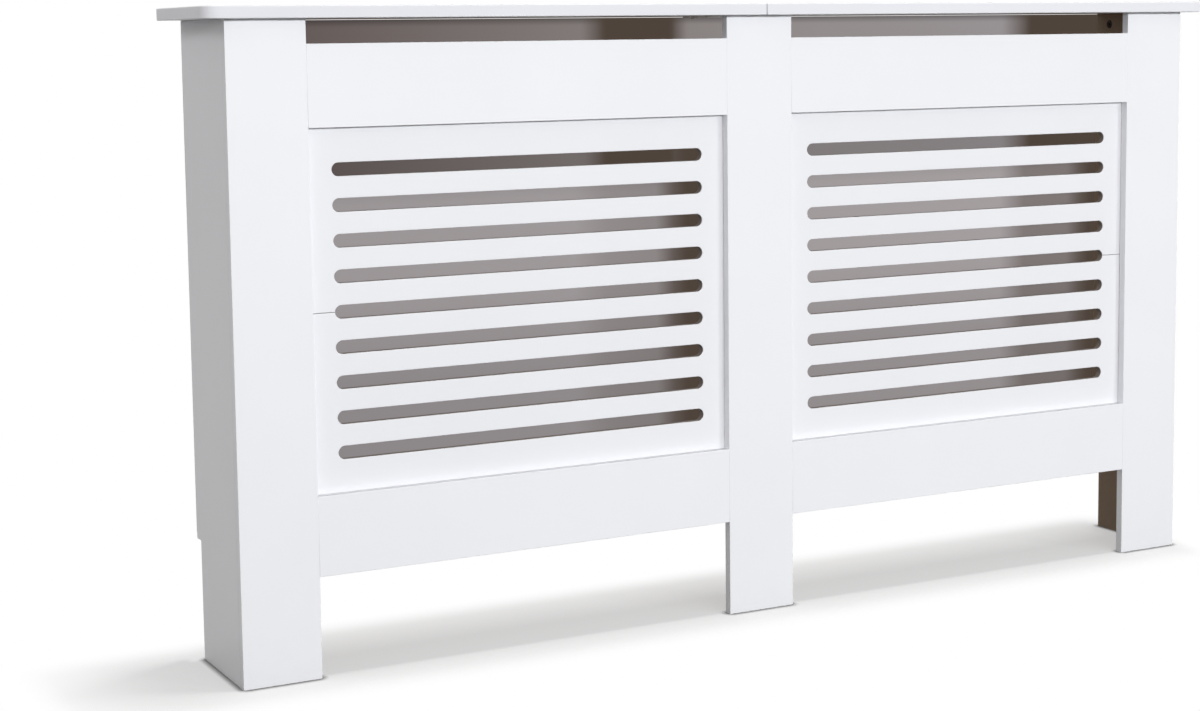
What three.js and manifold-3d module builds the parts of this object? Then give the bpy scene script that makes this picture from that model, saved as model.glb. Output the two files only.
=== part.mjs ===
// Radiator cover cabinet, two bays wide.
// Millimetres, +Z up. The front faces -Y, +X runs along the length, and the
// origin is on the floor under the middle of the shelf.
import * as THREE from 'three';
import { mergeVertices } from 'three/addons/utils/BufferGeometryUtils.js';
import Module from 'manifold-3d';

const wasm = await Module();
wasm.setup();

// ---------------------------------------------------------------- dimensions
// overall
const LENGTH = 1520;         // shelf, end to end
const DEPTH = 190;           // shelf, wall edge to front edge
const HEIGHT = 815;          // floor to shelf top
const SHELF_T = 15;          // shelf board
const BOARD_T = 12;          // stiles, rails and side panels
const SLAT_T = 10;           // slatted panels
const END_OVERHANG = 30;     // shelf past each side panel
const FRONT_OVERHANG = 20;   // shelf past the face of the stiles
const CORNER_R = 20;         // rounded front corners of the shelf
const CORNER_STEPS = 9;

// front frame
const STILE_W = 100;         // left, centre and right stile
const FRIEZE_Z = [670, 770]; // upper rail
const RAIL_Z = [126, 225];   // lower rail

// slatted panels, which lie behind the stiles and rails
const LAP = 30;              // lap behind a stile or a rail
const SEAM_Z = 446.3;        // joint of the upper and the lower panel
const SEAM_GAP = 0.5;
const SLOTS = 9;             // per bay, the fifth one lies on the seam
const SLOT_PITCH = 43.2;
const SLOT_H = 16.5;
const SLOT_L = 515;
const SLOT_STEPS = 8;        // per round end

// side panels
const NOTCH_D = 16;          // cut-out for the skirting board
const NOTCH_H = 152;

// eased edges
const EASE = 0.6;            // stiles, rails and side panels
const EASE_SLAT = 0.8;
const EASE_SHELF = 1.4;
const SHELF_GAP = 0.5;       // between the two shelf boards

// fittings
const GAP = 0.3;             // radial play of a pin in its hole
const CAM_R = 6, CAM_T = 9.6, CAM_Z = 784;
const CAM_Y = [-34, 66];
const BOLT_R = 2.9;
const DOWEL_R = 3;
const SCREW_R = 1.75, SCREW_HEAD_R = 3.6, SCREW_HEAD_T = 2;
const PLATE_T = 1.5;
const ROUND = 12;            // facets of a pin or a hole

// derived planes
const BODY_L = LENGTH - 2 * END_OVERHANG;
const X_END = BODY_L / 2;                       // outer face of a side panel
const Y_BACK = DEPTH / 2;                       // wall plane
const Y_FACE = -DEPTH / 2 + FRONT_OVERHANG;     // front face of the stiles
const Y_BEHIND = Y_FACE + BOARD_T;              // back of the stiles
const Y_SLAT = Y_BEHIND + SLAT_T;               // back of the slatted panels
const Z_SHELF = HEIGHT - SHELF_T;               // underside of the shelf
const X_BAY = [STILE_W / 2, X_END - STILE_W];   // clear width of the right bay

// ---------------------------------------------------------------- materials
const white = new THREE.MeshStandardMaterial({ color: 0xf1f2f4, roughness: 0.42, metalness: 0 });
const whiteSlat = new THREE.MeshStandardMaterial({ color: 0xeff0f2, roughness: 0.45, metalness: 0 });
const zinc = new THREE.MeshStandardMaterial({ color: 0xa9abad, roughness: 0.35, metalness: 0.9 });
const beech = new THREE.MeshStandardMaterial({ color: 0xc9a877, roughness: 0.75, metalness: 0 });

// ---------------------------------------------------------------- solids
function bare(geometry) {
  const g = geometry.clone();
  g.deleteAttribute('normal');
  g.deleteAttribute('uv');
  return mergeVertices(g, 1e-4);
}

function toSolid(geometry) {
  const g = bare(geometry);
  return new wasm.Manifold(new wasm.Mesh({
    numProp: 3,
    vertProperties: new Float32Array(g.attributes.position.array),
    triVerts: new Uint32Array(g.index.array),
  }));
}

function toGeometry(solid) {
  const m = solid.getMesh();
  const g = new THREE.BufferGeometry();
  g.setAttribute('position', new THREE.BufferAttribute(new Float32Array(m.vertProperties), 3));
  g.setIndex(new THREE.BufferAttribute(new Uint32Array(m.triVerts), 1));
  g.computeVertexNormals();
  return g;
}

function cut(geometry, tools) {
  if (!tools.length) return bare(geometry);
  let solid = toSolid(geometry);
  for (const tool of tools) solid = solid.subtract(toSolid(tool));
  return toGeometry(solid);
}

// a round pin along one axis, from a to b, at the two other coordinates
function pin(axis, a, b, p, q, r, sides = ROUND) {
  const g = new THREE.CylinderGeometry(r, r, b - a, sides);
  if (axis === 'x') { g.rotateZ(-Math.PI / 2); g.translate((a + b) / 2, p, q); }
  if (axis === 'y') g.translate(p, (a + b) / 2, q);
  if (axis === 'z') { g.rotateX(Math.PI / 2); g.translate(p, q, (a + b) / 2); }
  return g;
}

// ---------------------------------------------------------------- boards
function outline(points) {
  const s = new THREE.Shape();
  points.forEach(([u, v], i) => (i ? s.lineTo(u, v) : s.moveTo(u, v)));
  s.closePath();
  return s;
}

function extrude(shape, thickness, ease, steps = 1) {
  return new THREE.ExtrudeGeometry(shape, {
    depth: thickness - 2 * ease,
    bevelEnabled: true,
    bevelThickness: ease,
    bevelSize: ease,
    bevelOffset: -ease,
    bevelSegments: steps,
    curveSegments: SLOT_STEPS,
  }).translate(0, 0, ease);
}

// a board that stands in the XZ plane, with its front face at y = front
function facing(shape, thickness, front, ease) {
  const g = extrude(shape, thickness, ease);
  g.rotateX(Math.PI / 2);
  g.translate(0, front + thickness, 0);
  return g;
}

function rect(x0, x1, z0, z1) {
  return outline([[x0, z0], [x1, z0], [x1, z1], [x0, z1]]);
}

// a side panel is drawn as (y, z) and extruded along X from x0
function sideways(shape, thickness, x0, ease) {
  const g = extrude(shape, thickness, ease);
  g.applyMatrix4(new THREE.Matrix4().makeBasis(
    new THREE.Vector3(0, 1, 0), new THREE.Vector3(0, 0, 1), new THREE.Vector3(1, 0, 0)));
  g.translate(x0, 0, 0);
  return g;
}

// ---------------------------------------------------------------- assembly
const cabinet = new THREE.Group();
cabinet.name = 'radiator_cover_cabinet';

function add(name, geometry, material) {
  const mesh = new THREE.Mesh(geometry, material);
  mesh.name = name;
  cabinet.add(mesh);
  return mesh;
}

const sides = [['left', -1], ['right', 1]];

// screws that fix the slatted panels from behind: [x, z], for the right bay
const SCREWS = {
  upper: [
    ['stile', X_BAY[1] + LAP / 2, 560],
    ['centre', X_BAY[0] - LAP / 2, 560],
    ['frieze_a', 140, FRIEZE_Z[0] + LAP / 2],
    ['frieze_b', 540, FRIEZE_Z[0] + LAP / 2],
  ],
  lower: [
    ['stile', X_BAY[1] + LAP / 2, 330],
    ['centre', X_BAY[0] - LAP / 2, 330],
    ['rail_a', 140, RAIL_Z[1] - LAP / 2],
    ['rail_b', 540, RAIL_Z[1] - LAP / 2],
  ],
};
const SCREW_DEPTH = 7;       // past the slatted panel, into the stile or rail
const everyScrew = [...SCREWS.upper, ...SCREWS.lower];

// blind screw holes in the back of a front board that spans these limits
function screwHoles(x0, x1, z0, z1) {
  const holes = [];
  for (const [, s] of sides) {
    for (const [, x, z] of everyScrew) {
      if (s * x > x0 && s * x < x1 && z > z0 && z < z1) {
        holes.push(pin('y', Y_BEHIND - SCREW_DEPTH - 1, Y_BEHIND + 1, s * x, z, SCREW_R + GAP));
      }
    }
  }
  return holes;
}

// dowels between the ends of the rails and the edges of the stiles
const RAIL_DOWEL = 40;
const railDowels = [];
for (const [side, s] of sides) {
  for (const [rail, z] of [['frieze', (FRIEZE_Z[0] + FRIEZE_Z[1]) / 2], ['rail', (RAIL_Z[0] + RAIL_Z[1]) / 2]]) {
    railDowels.push([`dowel_${rail}_${side}_outer`, s * X_BAY[1], z]);
    railDowels.push([`dowel_${rail}_${side}_inner`, s * X_BAY[0], z]);
  }
}
function railDowelHoles(x0, x1, z0, z1) {
  return railDowels
    .filter(([, x, z]) => x >= x0 - 1e-6 && x <= x1 + 1e-6 && z > z0 && z < z1)
    .map(([, x, z]) => pin('x', x - RAIL_DOWEL / 2 - 1, x + RAIL_DOWEL / 2 + 1, Y_FACE + BOARD_T / 2, z, DOWEL_R + GAP));
}

// dowels between the outer stiles and the front edges of the side panels
const SIDE_DOWEL_Z = [260, 640];
const SIDE_DOWEL = [Y_BEHIND - 7.5, Y_BEHIND + 13];
function sideDowelHole(x, z) {
  return pin('y', SIDE_DOWEL[0] - 0.5, SIDE_DOWEL[1] + 1, x, z, DOWEL_R + GAP);
}

// the angle on the back of the centre stile and the plate under the shelf seam
const ANGLE = { x: 26, up: 30, back: 26, screwX: 16, screwUp: 18, screwBack: 15 };
const JOIN = { x: 40, y: [40, 60], screwX: 28 };
const SHELF_SCREW = 9;       // depth of a screw in the shelf board

// ---- shelf, two boards that meet over the centre stile
for (const [side, s] of sides) {
  const xo = LENGTH / 2, xi = SHELF_GAP / 2;
  const yf = -DEPTH / 2, yb = DEPTH / 2;
  const pts = [[xi, yb], [xi, yf + 0.9], [xi + 0.9, yf]];
  for (let i = 0; i <= CORNER_STEPS; i++) {
    const a = -Math.PI / 2 + (Math.PI / 2) * (i / CORNER_STEPS);
    pts.push([xo - CORNER_R + CORNER_R * Math.cos(a), yf + CORNER_R + CORNER_R * Math.sin(a)]);
  }
  pts.push([xo, yb]);
  const ring = s > 0 ? pts : pts.map(([x, y]) => [-x, y]).reverse();
  const board = extrude(outline(ring), SHELF_T, EASE_SHELF, 2).translate(0, 0, Z_SHELF);
  const holes = CAM_Y.map((y) => pin('z', Z_SHELF - 1, Z_SHELF + 10, s * (X_END - BOARD_T / 2), y, BOLT_R + GAP));
  holes.push(pin('z', Z_SHELF - 1, Z_SHELF + SHELF_SCREW, s * ANGLE.screwX, Y_BEHIND + ANGLE.screwBack, SCREW_R + GAP));
  holes.push(pin('z', Z_SHELF - 1, Z_SHELF + SHELF_SCREW, s * JOIN.screwX, (JOIN.y[0] + JOIN.y[1]) / 2, SCREW_R + GAP));
  add(`shelf_${side}`, cut(board, holes), white);
}

// ---- side panels, with the cut-out for the skirting board
for (const [side, s] of sides) {
  const shape = outline([
    [Y_BEHIND, 0], [Y_BACK - NOTCH_D, 0], [Y_BACK - NOTCH_D, NOTCH_H],
    [Y_BACK, NOTCH_H], [Y_BACK, Z_SHELF], [Y_BEHIND, Z_SHELF],
  ]);
  const x0 = s > 0 ? X_END - BOARD_T : -X_END;
  const mid = s * (X_END - BOARD_T / 2);
  const inner = s * (X_END - BOARD_T);
  const holes = [];
  for (const y of CAM_Y) {
    const far = inner + s * (CAM_T + 0.4);
    holes.push(pin('x', Math.min(inner - s, far), Math.max(inner - s, far), y, CAM_Z, CAM_R + GAP, 24));
    holes.push(pin('z', CAM_Z, Z_SHELF + 1, mid, y, BOLT_R + GAP));
  }
  for (const z of SIDE_DOWEL_Z) holes.push(sideDowelHole(mid, z));
  add(`side_panel_${side}`, cut(sideways(shape, BOARD_T, x0, EASE), holes), white);
}

// ---- stiles
for (const [name, x0] of [['left', -X_END], ['centre', -STILE_W / 2], ['right', X_END - STILE_W]]) {
  const x1 = x0 + STILE_W;
  const holes = [...screwHoles(x0, x1, 0, Z_SHELF), ...railDowelHoles(x0, x1, 0, Z_SHELF)];
  if (name === 'centre') {
    for (const s of [-1, 1]) {
      holes.push(pin('y', Y_BEHIND - 8, Y_BEHIND + 1, s * ANGLE.screwX, Z_SHELF - ANGLE.screwUp, SCREW_R + GAP));
    }
  } else {
    const mid = (name === 'left' ? -1 : 1) * (X_END - BOARD_T / 2);
    for (const z of SIDE_DOWEL_Z) holes.push(sideDowelHole(mid, z));
  }
  add(`stile_${name}`, cut(facing(rect(x0, x1, 0, Z_SHELF), BOARD_T, Y_FACE, EASE), holes), white);
}

// ---- upper and lower rails
for (const [side, s] of sides) {
  const x0 = s > 0 ? X_BAY[0] : -X_BAY[1];
  const x1 = s > 0 ? X_BAY[1] : -X_BAY[0];
  for (const [name, [z0, z1]] of [['frieze_rail', FRIEZE_Z], ['lower_rail', RAIL_Z]]) {
    const holes = [...screwHoles(x0, x1, z0, z1), ...railDowelHoles(x0, x1, z0, z1)];
    add(`${name}_${side}`, cut(facing(rect(x0, x1, z0, z1), BOARD_T, Y_FACE, EASE), holes), white);
  }
}

// ---- slatted panels: four whole slots each and half of the one on the seam
function slatPanel(x0, x1, z0, z1, upper) {
  const cx = (x0 + x1) / 2;
  const half = SLOT_L / 2, r = SLOT_H / 2;
  const xa = cx - half + r, xb = cx + half - r;   // centres of the round ends
  const zc = (i) => SEAM_Z + SLOT_PITCH * i;      // i counts up from the seam
  const s = new THREE.Shape();
  if (upper) {
    // counter-clockwise from the lower left corner, dipping over the half slot
    s.moveTo(x0, z0);
    const rise = z0 - SEAM_Z;
    const reach = Math.sqrt(r * r - rise * rise);
    const a0 = Math.atan2(rise, -reach);
    for (let i = 0; i <= SLOT_STEPS; i++) {
      const a = a0 + (Math.PI / 2 - a0) * (i / SLOT_STEPS);
      s.lineTo(xa + r * Math.cos(a), SEAM_Z + r * Math.sin(a));
    }
    for (let i = 0; i <= SLOT_STEPS; i++) {
      const a = Math.PI / 2 + (Math.atan2(rise, reach) - Math.PI / 2) * (i / SLOT_STEPS);
      s.lineTo(xb + r * Math.cos(a), SEAM_Z + r * Math.sin(a));
    }
    s.lineTo(x1, z0); s.lineTo(x1, z1); s.lineTo(x0, z1);
  } else {
    s.moveTo(x0, z0); s.lineTo(x1, z0); s.lineTo(x1, z1);
    const drop = z1 - SEAM_Z;
    const reach = Math.sqrt(r * r - drop * drop);
    const a1 = Math.atan2(drop, reach);
    for (let i = 0; i <= SLOT_STEPS; i++) {
      const a = a1 + (-Math.PI / 2 - a1) * (i / SLOT_STEPS);
      s.lineTo(xb + r * Math.cos(a), SEAM_Z + r * Math.sin(a));
    }
    const a2 = -Math.PI - a1;
    for (let i = 0; i <= SLOT_STEPS; i++) {
      const a = -Math.PI / 2 + (a2 + Math.PI / 2) * (i / SLOT_STEPS);
      s.lineTo(xa + r * Math.cos(a), SEAM_Z + r * Math.sin(a));
    }
    s.lineTo(x0, z1);
  }
  s.closePath();
  for (let k = 1; k <= (SLOTS - 1) / 2; k++) {
    const z = zc(upper ? k : -k);
    const h = new THREE.Path();
    h.moveTo(xa, z - r);
    h.lineTo(xb, z - r);
    h.absarc(xb, z, r, -Math.PI / 2, Math.PI / 2, false);
    h.lineTo(xa, z + r);
    h.absarc(xa, z, r, Math.PI / 2, (3 * Math.PI) / 2, false);
    s.holes.push(h);
  }
  return s;
}

for (const [side, s] of sides) {
  const xa = X_BAY[0] - LAP, xb = X_BAY[1] + LAP;
  const x0 = s > 0 ? xa : -xb;
  const x1 = s > 0 ? xb : -xa;
  for (const level of ['upper', 'lower']) {
    const z0 = level === 'upper' ? SEAM_Z + SEAM_GAP / 2 : RAIL_Z[1] - LAP;
    const z1 = level === 'upper' ? FRIEZE_Z[0] + LAP : SEAM_Z - SEAM_GAP / 2;
    const board = facing(slatPanel(x0, x1, z0, z1, level === 'upper'), SLAT_T, Y_BEHIND, EASE_SLAT);
    const holes = SCREWS[level].map(([, x, z]) => pin('y', Y_BEHIND - 1, Y_SLAT + 1, s * x, z, SCREW_R + GAP));
    add(`slat_panel_${level}_${side}`, cut(board, holes), whiteSlat);
  }
}

// ---- cam locks in the side panels and their bolts in the shelf
// The cam is a disc on the X axis with a pocket for the head of the bolt and a
// cross recess on the face that shows.
for (const [side, s] of sides) {
  const inner = s * (X_END - BOARD_T);
  const mid = s * (X_END - BOARD_T / 2);
  CAM_Y.forEach((y, i) => {
    const place = i ? 'rear' : 'front';
    const a = inner, b = inner + s * CAM_T;
    const disc = pin('x', Math.min(a, b), Math.max(a, b), y, CAM_Z, CAM_R, 24);
    const pocket = pin('z', CAM_Z - 2, CAM_Z + CAM_R + 1, mid, y, BOLT_R + GAP);
    const cross = [[6.4, 1.3], [1.3, 6.4]].map(([u, v]) =>
      new THREE.BoxGeometry(2.4, u, v).rotateX(Math.PI / 4).translate(inner, y, CAM_Z));
    add(`cam_lock_${side}_${place}`, cut(disc, [pocket, ...cross]), zinc);

    // bolt: head in the cam, neck, collar in the panel edge, thread in the shelf
    const profile = [
      [0, CAM_Z - 1.7], [2.2, CAM_Z - 1.7], [2.7, CAM_Z - 1], [2.7, CAM_Z + 0.6], [1.5, CAM_Z + 1.6],
      [1.5, CAM_Z + 5.2], [2.7, CAM_Z + 6.2], [2.7, Z_SHELF - 1.2], [BOLT_R, Z_SHELF - 0.6],
    ];
    for (let k = 0; k < 3; k++) {
      const z = Z_SHELF + 0.6 + k * 2.9;
      profile.push([2.2, z], [BOLT_R, z + 1.6]);
    }
    profile.push([2.1, Z_SHELF + 9.5], [0, Z_SHELF + 9.5]);
    const bolt = new THREE.LatheGeometry(profile.map(([r, z]) => new THREE.Vector2(r, z)), ROUND);
    bolt.rotateX(Math.PI / 2);
    bolt.translate(mid, y, 0);
    add(`cam_bolt_${side}_${place}`, bare(bolt), zinc);
  });
}

// ---- dowels, grooved beech pins with chamfered ends
function dowel(axis, a, b, p, q) {
  const len = b - a, c = 0.8;
  const profile = [[0, 0], [DOWEL_R - c, 0], [DOWEL_R, c], [DOWEL_R, len - c], [DOWEL_R - c, len], [0, len]];
  const g = new THREE.LatheGeometry(profile.map(([r, y]) => new THREE.Vector2(r, y)), ROUND);
  if (axis === 'x') { g.rotateZ(-Math.PI / 2); g.translate(a, p, q); }
  if (axis === 'y') g.translate(p, a, q);
  return bare(g);
}
for (const [name, x, z] of railDowels) {
  add(name, dowel('x', x - RAIL_DOWEL / 2, x + RAIL_DOWEL / 2, Y_FACE + BOARD_T / 2, z), beech);
}
for (const [side, s] of sides) {
  SIDE_DOWEL_Z.forEach((z, i) => {
    add(`dowel_stile_${side}_${i ? 'upper' : 'lower'}`,
      dowel('y', SIDE_DOWEL[0], SIDE_DOWEL[1], s * (X_END - BOARD_T / 2), z), beech);
  });
}

// ---- screws: a domed head with a cross recess, a shank and a point
// The screw stands on its head at the origin and points along +Y of its own.
function screwGeometry(length) {
  const profile = [
    [0, length], [SCREW_R, length - 3.4], [SCREW_R, 0], [SCREW_HEAD_R, 0],
    [SCREW_HEAD_R, -0.8], [SCREW_HEAD_R * 0.62, -SCREW_HEAD_T], [0, -SCREW_HEAD_T],
  ].reverse();
  const body = new THREE.LatheGeometry(profile.map(([r, y]) => new THREE.Vector2(r, y)), ROUND);
  const cross = [[3.4, 0.8], [0.8, 3.4]].map(([u, v]) =>
    new THREE.BoxGeometry(u, 2.4, v).translate(0, -SCREW_HEAD_T, 0));
  return cut(body, cross);
}
const slatScrew = screwGeometry(SLAT_T + SCREW_DEPTH - 0.4);
const plateScrew = screwGeometry(PLATE_T + 7);

// into the front, from behind
function screwForward(name, geometry, x, y, z) {
  const mesh = add(name, geometry.clone(), zinc);
  mesh.rotation.set(Math.PI, 0, 0);
  mesh.position.set(x, y, z);
}
// up, into the shelf
function screwUp(name, geometry, x, y, z) {
  const mesh = add(name, geometry.clone(), zinc);
  mesh.rotation.set(Math.PI / 2, 0, 0);
  mesh.position.set(x, y, z);
}
for (const [side, s] of sides) {
  for (const level of ['upper', 'lower']) {
    for (const [place, x, z] of SCREWS[level]) {
      screwForward(`screw_${level}_${side}_${place}`, slatScrew, s * x, Y_SLAT, z);
    }
  }
}

// ---- angle: centre stile to both shelf boards
{
  const shape = outline([
    [0, 0], [0, -ANGLE.up], [PLATE_T, -ANGLE.up], [PLATE_T, -PLATE_T - 0.8], [PLATE_T + 0.8, -PLATE_T],
    [ANGLE.back, -PLATE_T], [ANGLE.back, 0],
  ].reverse());
  const g = new THREE.ExtrudeGeometry(shape, { depth: 2 * ANGLE.x, bevelEnabled: false });
  g.applyMatrix4(new THREE.Matrix4().makeBasis(
    new THREE.Vector3(0, 1, 0), new THREE.Vector3(0, 0, 1), new THREE.Vector3(1, 0, 0)));
  g.translate(-ANGLE.x, Y_BEHIND, Z_SHELF);
  const holes = [];
  for (const s of [-1, 1]) {
    holes.push(pin('y', Y_BEHIND - 1, Y_BEHIND + PLATE_T + 1, s * ANGLE.screwX, Z_SHELF - ANGLE.screwUp, SCREW_R + GAP));
    holes.push(pin('z', Z_SHELF - PLATE_T - 1, Z_SHELF + 1, s * ANGLE.screwX, Y_BEHIND + ANGLE.screwBack, SCREW_R + GAP));
  }
  add('centre_angle', cut(g, holes), zinc);
  for (const [side, s] of sides) {
    screwForward(`screw_angle_stile_${side}`, plateScrew, s * ANGLE.screwX, Y_BEHIND + PLATE_T, Z_SHELF - ANGLE.screwUp);
    screwUp(`screw_angle_shelf_${side}`, plateScrew, s * ANGLE.screwX, Y_BEHIND + ANGLE.screwBack, Z_SHELF - PLATE_T);
  }
}

// ---- joining plate: across the seam, under the back of the two shelf boards
{
  const [ya, yb] = JOIN.y, r = 4;
  const s = new THREE.Shape();
  s.moveTo(-JOIN.x + r, ya); s.lineTo(JOIN.x - r, ya);
  s.absarc(JOIN.x - r, ya + r, r, -Math.PI / 2, 0, false);
  s.lineTo(JOIN.x, yb - r);
  s.absarc(JOIN.x - r, yb - r, r, 0, Math.PI / 2, false);
  s.lineTo(-JOIN.x + r, yb);
  s.absarc(-JOIN.x + r, yb - r, r, Math.PI / 2, Math.PI, false);
  s.lineTo(-JOIN.x, ya + r);
  s.absarc(-JOIN.x + r, ya + r, r, Math.PI, (3 * Math.PI) / 2, false);
  const g = new THREE.ExtrudeGeometry(s, { depth: PLATE_T, bevelEnabled: false, curveSegments: 5 });
  g.translate(0, 0, Z_SHELF - PLATE_T);
  const mid = (ya + yb) / 2;
  const holes = [-1, 1].map((k) => pin('z', Z_SHELF - PLATE_T - 1, Z_SHELF + 1, k * JOIN.screwX, mid, SCREW_R + GAP));
  add('joining_plate', cut(g, holes), zinc);
  for (const [side, k] of sides) {
    screwUp(`screw_plate_${side}`, plateScrew, k * JOIN.screwX, mid, Z_SHELF - PLATE_T);
  }
}

export default cabinet;
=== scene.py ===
"""Radiator cover cabinet: looks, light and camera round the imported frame. Metres, +Z up, front towards -Y."""

import math

import bmesh
import bpy
from mathutils import Matrix, Vector
from mathutils.geometry import tessellate_polygon


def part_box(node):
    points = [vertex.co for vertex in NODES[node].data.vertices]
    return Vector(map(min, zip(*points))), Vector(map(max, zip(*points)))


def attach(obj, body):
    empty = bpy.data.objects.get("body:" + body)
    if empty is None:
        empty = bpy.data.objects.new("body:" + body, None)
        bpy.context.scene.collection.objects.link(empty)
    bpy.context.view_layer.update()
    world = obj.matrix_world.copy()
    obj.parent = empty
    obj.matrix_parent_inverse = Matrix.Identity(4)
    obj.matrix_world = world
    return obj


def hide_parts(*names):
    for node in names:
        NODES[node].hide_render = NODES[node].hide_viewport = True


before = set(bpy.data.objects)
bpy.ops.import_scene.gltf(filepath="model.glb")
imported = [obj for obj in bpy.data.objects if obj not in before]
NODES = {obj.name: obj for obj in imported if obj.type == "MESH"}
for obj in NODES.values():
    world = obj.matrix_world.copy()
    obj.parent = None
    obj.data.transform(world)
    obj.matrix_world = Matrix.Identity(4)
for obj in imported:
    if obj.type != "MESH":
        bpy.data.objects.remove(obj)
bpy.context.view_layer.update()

# ------------------------------------------------------------ node helpers
MIX_FACTOR, MIX_A, MIX_B, MIX_RESULT = 0, 6, 7, 2  # the colour sockets of a Mix node


def feed(tree, socket, value):
    """Writes a value on a socket, or links another node's output to it."""
    if isinstance(value, bpy.types.NodeSocket):
        tree.links.new(value, socket)
    else:
        socket.default_value = value


def node(tree, kind, **settings):
    """A shader node. A setting whose name begins with _ is a property; the others are sockets."""
    made = tree.nodes.new("ShaderNode" + kind)
    for key, value in settings.items():
        if key.startswith("_"):
            setattr(made, key[1:], value)
        else:
            feed(tree, made.inputs[key.replace("_", " ")], value)
    return made


def noise(tree, vector, scale, detail, roughness=0.5):
    made = node(tree, "TexNoise", Vector=vector, Scale=scale, Detail=detail, Roughness=roughness)
    return made.outputs["Fac"]


def mapped(tree, vector, **settings):
    return node(tree, "Mapping", Vector=vector, **settings).outputs["Vector"]


def ramp(tree, value, stops):
    """A colour for a value from 0 to 1: stops is [(value, colour), ...]."""
    made = node(tree, "ValToRGB", Fac=value)
    elements = made.color_ramp.elements
    while len(elements) < len(stops):
        elements.new(0.5)
    for element, (position, colour) in zip(elements, stops):
        element.position = position
        element.color = (*colour, 1)
    return made.outputs["Color"]


def maprange(tree, value, source, target, interpolation="LINEAR"):
    """Maps the values between the two of source to those between the two of target."""
    made = node(tree, "MapRange", _interpolation_type=interpolation, Value=value, From_Min=source[0],
                From_Max=source[1], To_Min=target[0], To_Max=target[1])
    return made.outputs["Result"]


def maths(tree, operation, a, b=0.0):
    made = node(tree, "Math", _operation=operation)
    feed(tree, made.inputs[0], a)
    feed(tree, made.inputs[1], b)
    return made.outputs["Value"]


def mix_colour(tree, factor, a, b, blend="MIX"):
    made = node(tree, "Mix", _data_type="RGBA", _blend_type=blend)
    for place, value in ((MIX_FACTOR, factor), (MIX_A, a), (MIX_B, b)):
        feed(tree, made.inputs[place], value)
    return made.outputs[MIX_RESULT]


def mix_shader(tree, factor, a, b):
    made = node(tree, "MixShader")
    for place, value in enumerate((factor, a, b)):
        feed(tree, made.inputs[place], value)
    return made.outputs["Shader"]


def bump(tree, height, strength, distance, **settings):
    made = node(tree, "Bump", Height=height, Strength=strength, Distance=distance, **settings)
    return made.outputs["Normal"]


def seen_by(tree, *rays):
    """1 for the named kinds of ray and 0 for all others."""
    path = node(tree, "LightPath")
    result = path.outputs[rays[0]]
    for ray in rays[1:]:
        result = maths(tree, "MAXIMUM", result, path.outputs[ray])
    return result


def material(name):
    """A material and its empty node tree."""
    made = bpy.data.materials.new(name)
    made.use_nodes = True
    made.node_tree.nodes.clear()
    return made, made.node_tree


def show(tree, shader, output="OutputMaterial"):
    """Makes a shader the one that the tree shows."""
    node(tree, output, Surface=shader)


def principled(tree, **settings):
    """Shows a surface with the given settings."""
    show(tree, node(tree, "BsdfPrincipled", **settings).outputs["BSDF"])


# ------------------------------------------------------------ materials
LOW, HIGH = 0.3, 0.7        # between these lies most of a noise
GRIME = (0.40, 0.38, 0.35)
GRIME_TOP, GRIME_MOST = 0.075, 0.05  # its height above the floor, and its share of the colour at the floor


def foil_material(name, base, shade, seed, satin=(0.36, 0.47)):
    """Satin white foil on fibreboard: a fine orange peel over a slow ripple, a faint cloudy tone, and grime
    low on the boards. Its tone lies between shade and base, its roughness lies within satin, and seed moves
    its pattern."""
    made, tree = material(name)
    at = node(tree, "TexCoord").outputs["Object"]
    place = mapped(tree, at, Location=(seed, seed * 0.37, -seed))
    tone = ramp(tree, noise(tree, place, scale=7.0, detail=3.0), [(LOW, shade), (HIGH, base)])

    # the grime fades with the height and is broken up by a blotchy noise
    height = node(tree, "SeparateXYZ", Vector=at).outputs["Z"]
    low = maprange(tree, height, (0.0, GRIME_TOP), (GRIME_MOST, 0.0))
    blotches = noise(tree, place, scale=38.0, detail=5.0, roughness=0.65)
    grime = maths(tree, "MULTIPLY", low, maprange(tree, blotches, (0.4, 0.75), (0.0, 1.0)))
    colour = mix_colour(tree, grime, tone, (*GRIME, 1))

    # hair-fine wipe marks along the boards make the satin a little uneven
    along = mapped(tree, at, Scale=(9.0, 9.0, 260.0))
    rough = maprange(tree, noise(tree, along, scale=3.0, detail=4.0, roughness=0.6), (LOW, HIGH), satin)

    waves = noise(tree, place, scale=16.0, detail=2.0, roughness=0.4)
    ripple = bump(tree, waves, strength=0.10, distance=0.0004)
    pimples = noise(tree, place, scale=520.0, detail=2.0)
    peel = bump(tree, pimples, strength=0.16, distance=0.00006, Normal=ripple)
    principled(tree, Base_Color=colour, Roughness=rough, Normal=peel, IOR=1.46)
    return made


def zinc_material(name, dark, light):
    """Zinc: soft cloudy lustre and fine tumbling marks."""
    made, tree = material(name)
    at = node(tree, "TexCoord").outputs["Object"]
    cloud = noise(tree, at, scale=240.0, detail=4.0, roughness=0.6)
    tone = ramp(tree, cloud, [(LOW, dark), (HIGH, light)])
    rough = maprange(tree, cloud, (LOW, HIGH), (0.24, 0.42))
    marks = bump(tree, noise(tree, at, scale=2600.0, detail=2.0), strength=0.2, distance=0.00005)
    principled(tree, Base_Color=tone, Roughness=rough, Normal=marks, Metallic=1.0)
    return made


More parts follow.
